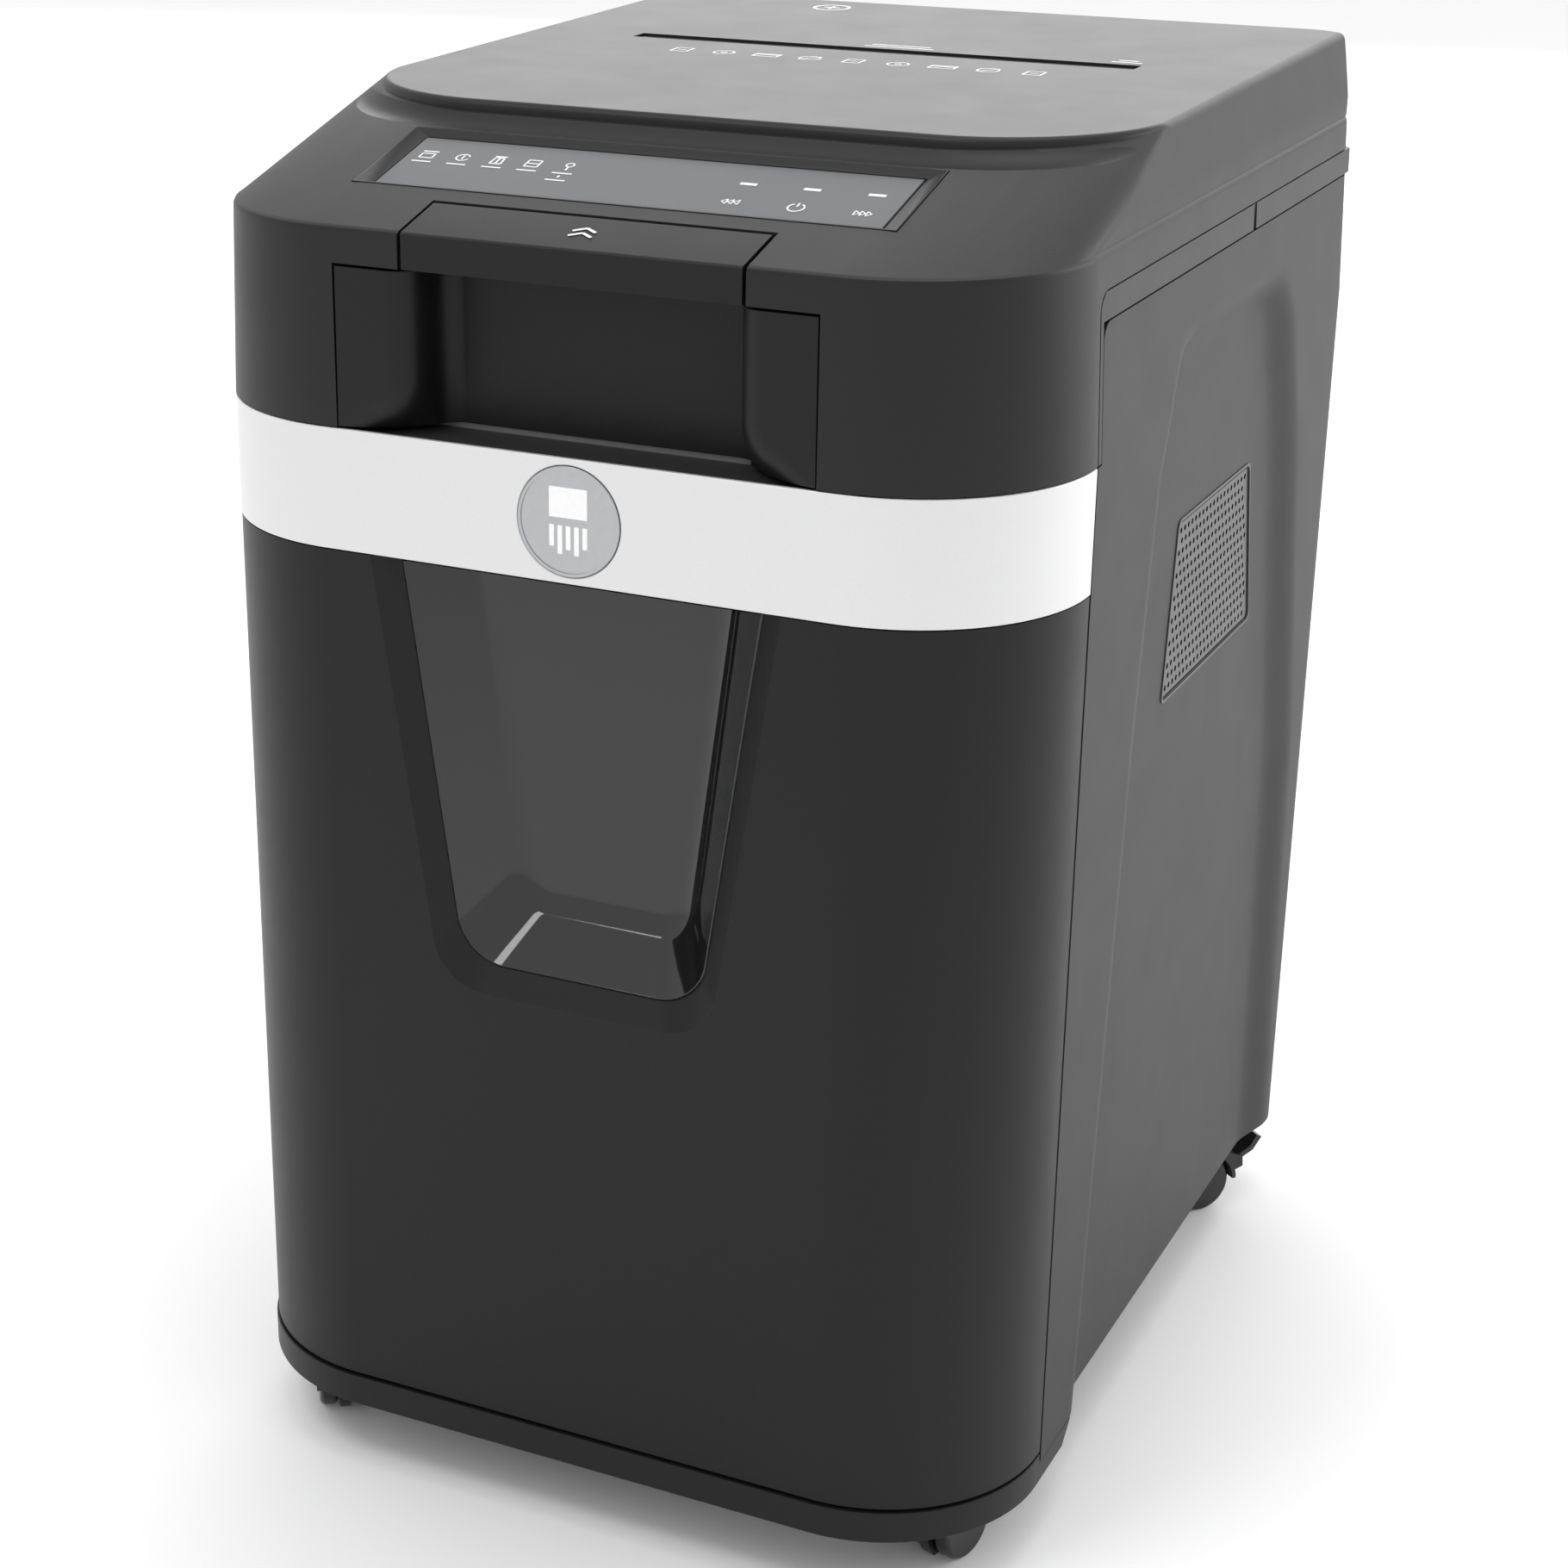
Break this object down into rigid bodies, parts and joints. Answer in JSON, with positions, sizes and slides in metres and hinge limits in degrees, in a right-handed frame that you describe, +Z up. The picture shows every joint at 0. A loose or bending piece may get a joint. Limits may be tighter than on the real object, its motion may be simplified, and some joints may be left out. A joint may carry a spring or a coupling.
{
  "type": "paper shredder",
  "caption": "Auto-feed paper shredder on casters with a lift-up lid, hand-feed slot, touch panel, finger pocket, pull-out bin drawer with a smoked window and side vents.",
  "frame": {"origin": "on the floor under the middle of the body", "axes": "+X to the right seen from the front, -Y out of the front, +Z up"},
  "size_m": [0.38, 0.4705, 0.615],
  "materials": {
    "black_abs": "fine-textured moulded ABS, satin black",
    "side_abs": "fine-textured moulded ABS, satin black",
    "inner_abs": "moulded black ABS",
    "silver_paint": "silver painted ABS, satin",
    "badge_metal": "brushed disc",
    "smoked": "smoked clear polystyrene",
    "panel_gloss": "back-printed glossy acrylic",
    "zinc_steel": "zinc-plated sheet steel",
    "tool_steel": "ground tool steel, oiled",
    "bronze": "sintered bronze",
    "roller_rubber": "grooved rubber",
    "gear_nylon": "moulded nylon",
    "board": "solder-masked glass-epoxy board",
    "caster_nylon": "moulded black nylon"
  },
  "bodies": {
    "chassis": {"base_tray": "inner_abs", "front_skirt": "black_abs", "side_panel_left": "side_abs", "side_panel_right": "side_abs", "vent_grille_left": "inner_abs", "vent_grille_right": "inner_abs", "rear_panel": "black_abs", "shoulder_frame": "black_abs", "pocket_insert": "black_abs", "feed_bed": "inner_abs", "feed_sides": "inner_abs", "feed_ends": "inner_abs", "inner_frame": "zinc_steel", "drawer_rails": "zinc_steel", "cutter_plate_left": "zinc_steel", "cutter_plate_right": "zinc_steel", "tie_rods": "zinc_steel", "cutter_bushes": "bronze", "stripper_combs": "inner_abs", "motor_can": "zinc_steel", "gearbox_plate": "zinc_steel", "fan_frame": "inner_abs", "power_board": "board", "power_inlet": "inner_abs", "case_screws": "zinc_steel", "hinge_brackets": "zinc_steel"},
    "drawer": {"drawer_front": "black_abs", "silver_band": "silver_paint", "badge": "badge_metal", "window": "smoked", "bin_tub": "inner_abs", "drawer_pull": "inner_abs"},
    "lid": {"lid_shell": "black_abs", "lid_liner": "inner_abs", "slot_chute": "inner_abs", "control_panel": "panel_gloss", "control_board": "board", "handle_pin": "zinc_steel", "pressure_springs": "zinc_steel"},
    "handle": {"lift_handle": "black_abs"},
    "presser": {"pressure_plate": "inner_abs", "presser_bridges": "inner_abs"},
    "cutter_front": {"cutter_spindle_front": "tool_steel", "cutter_discs_front": "tool_steel"},
    "cutter_rear": {"cutter_spindle_rear": "tool_steel", "cutter_discs_rear": "tool_steel"},
    "roller_front": {"feed_shaft_front": "tool_steel", "feed_rollers_front": "roller_rubber"},
    "roller_rear": {"feed_shaft_rear": "tool_steel", "feed_rollers_rear": "roller_rubber"},
    "reduction": {"reduction_gear": "gear_nylon"},
    "motor_rotor": {"motor_pinion": "tool_steel"},
    "fan": {"fan_rotor": "inner_abs"},
    "rocker": {"rocker_switch": "inner_abs"},
    "caster_fl": {"caster_housing_fl": "caster_nylon"},
    "wheels_fl": {"caster_wheels_fl": "caster_nylon"},
    "caster_fr": {"caster_housing_fr": "caster_nylon"},
    "wheels_fr": {"caster_wheels_fr": "caster_nylon"},
    "caster_rl": {"caster_housing_rl": "caster_nylon"},
    "wheels_rl": {"caster_wheels_rl": "caster_nylon"},
    "brake_rl": {"caster_brake_rl": "caster_nylon"},
    "caster_rr": {"caster_housing_rr": "caster_nylon"},
    "wheels_rr": {"caster_wheels_rr": "caster_nylon"},
    "brake_rr": {"caster_brake_rr": "caster_nylon"}
  },
  "joints": [
    {"name": "lid_hinge", "type": "hinge", "parent": "chassis", "child": "lid", "pos_m": [0, 0.223, 0.572], "axis": [-1, 0, 0], "range_deg": [0, 70]},
    {"name": "handle_pivot", "type": "hinge", "parent": "lid", "child": "handle", "pos_m": [0, -0.2075, 0.576], "axis": [-1, 0, 0], "range_deg": [0, 8], "stiffness_Nm_per_rad": 0.6, "springref_deg": -17.19},
    {"name": "presser_slide", "type": "slide", "parent": "lid", "child": "presser", "axis": [0, 0, 1], "range_m": [0, 0.012], "stiffness_N_per_m": 300, "springref_m": -0.015, "deforming": ["pressure_springs"]},
    {"name": "drawer_slide", "type": "slide", "parent": "chassis", "child": "drawer", "axis": [0, -1, 0], "range_m": [0, 0.35]},
    {"name": "cutter_front_spin", "type": "hinge", "parent": "chassis", "child": "cutter_front", "pos_m": [0, 0.057, 0.455], "axis": [1, 0, 0], "continuous": true},
    {"name": "cutter_rear_spin", "type": "hinge", "parent": "chassis", "child": "cutter_rear", "pos_m": [0, 0.101, 0.455], "axis": [1, 0, 0], "continuous": true},
    {"name": "roller_front_spin", "type": "hinge", "parent": "chassis", "child": "roller_front", "pos_m": [0, 0.057, 0.515], "axis": [1, 0, 0], "continuous": true},
    {"name": "roller_rear_spin", "type": "hinge", "parent": "chassis", "child": "roller_rear", "pos_m": [0, 0.101, 0.515], "axis": [1, 0, 0], "continuous": true},
    {"name": "reduction_spin", "type": "hinge", "parent": "chassis", "child": "reduction", "pos_m": [0, 0.015, 0.455], "axis": [1, 0, 0], "continuous": true},
    {"name": "motor_spin", "type": "hinge", "parent": "chassis", "child": "motor_rotor", "pos_m": [0, -0.014, 0.455], "axis": [1, 0, 0], "continuous": true},
    {"name": "fan_spin", "type": "hinge", "parent": "chassis", "child": "fan", "pos_m": [-0.062, 0, 0.468], "axis": [0, 1, 0], "continuous": true},
    {"name": "rocker_pivot", "type": "hinge", "parent": "chassis", "child": "rocker", "pos_m": [0.0715, 0.231, 0.11], "axis": [-1, 0, 0], "range_deg": [0, 14]},
    {"name": "swivel_fl", "type": "hinge", "parent": "chassis", "child": "caster_fl", "pos_m": [-0.153, -0.182, 0.04], "axis": [0, 0, 1], "continuous": true},
    {"name": "wheel_roll_fl", "type": "hinge", "parent": "caster_fl", "child": "wheels_fl", "pos_m": [-0.14784, -0.18937, 0.016], "axis": [-0.8192, -0.5736, 0], "continuous": true},
    {"name": "swivel_fr", "type": "hinge", "parent": "chassis", "child": "caster_fr", "pos_m": [0.153, -0.182, 0.04], "axis": [0, 0, 1], "continuous": true},
    {"name": "wheel_roll_fr", "type": "hinge", "parent": "caster_fr", "child": "wheels_fr", "pos_m": [0.15533, -0.17331, 0.016], "axis": [0.9659, -0.2588, 0], "continuous": true},
    {"name": "swivel_rl", "type": "hinge", "parent": "chassis", "child": "caster_rl", "pos_m": [-0.153, 0.176, 0.04], "axis": [0, 0, 1], "continuous": true},
    {"name": "wheel_roll_rl", "type": "hinge", "parent": "caster_rl", "child": "wheels_rl", "pos_m": [-0.15879, 0.18289, 0.016], "axis": [0.766, 0.6428, 0], "continuous": true},
    {"name": "brake_pivot_rl", "type": "hinge", "parent": "caster_rl", "child": "brake_rl", "pos_m": [-0.1728, 0.19959, 0.025], "axis": [-0.766, -0.6428, 0], "range_deg": [0, 20]},
    {"name": "swivel_rr", "type": "hinge", "parent": "chassis", "child": "caster_rr", "pos_m": [0.153, 0.176, 0.04], "axis": [0, 0, 1], "continuous": true},
    {"name": "wheel_roll_rr", "type": "hinge", "parent": "caster_rr", "child": "wheels_rr", "pos_m": [0.15879, 0.18289, 0.016], "axis": [0.766, -0.6428, 0], "continuous": true},
    {"name": "brake_pivot_rr", "type": "hinge", "parent": "caster_rr", "child": "brake_rr", "pos_m": [0.1728, 0.19959, 0.025], "axis": [-0.766, 0.6428, 0], "range_deg": [0, 20]}
  ],
  "couplings": [
    {"joint": "cutter_rear_spin", "follows": "cutter_front_spin", "ratio": -1},
    {"joint": "roller_front_spin", "follows": "cutter_front_spin", "ratio": -1.2222},
    {"joint": "roller_rear_spin", "follows": "cutter_front_spin", "ratio": 1.2222},
    {"joint": "reduction_spin", "follows": "cutter_front_spin", "ratio": -3.6667},
    {"joint": "motor_spin", "follows": "cutter_front_spin", "ratio": 17.6}
  ]
}
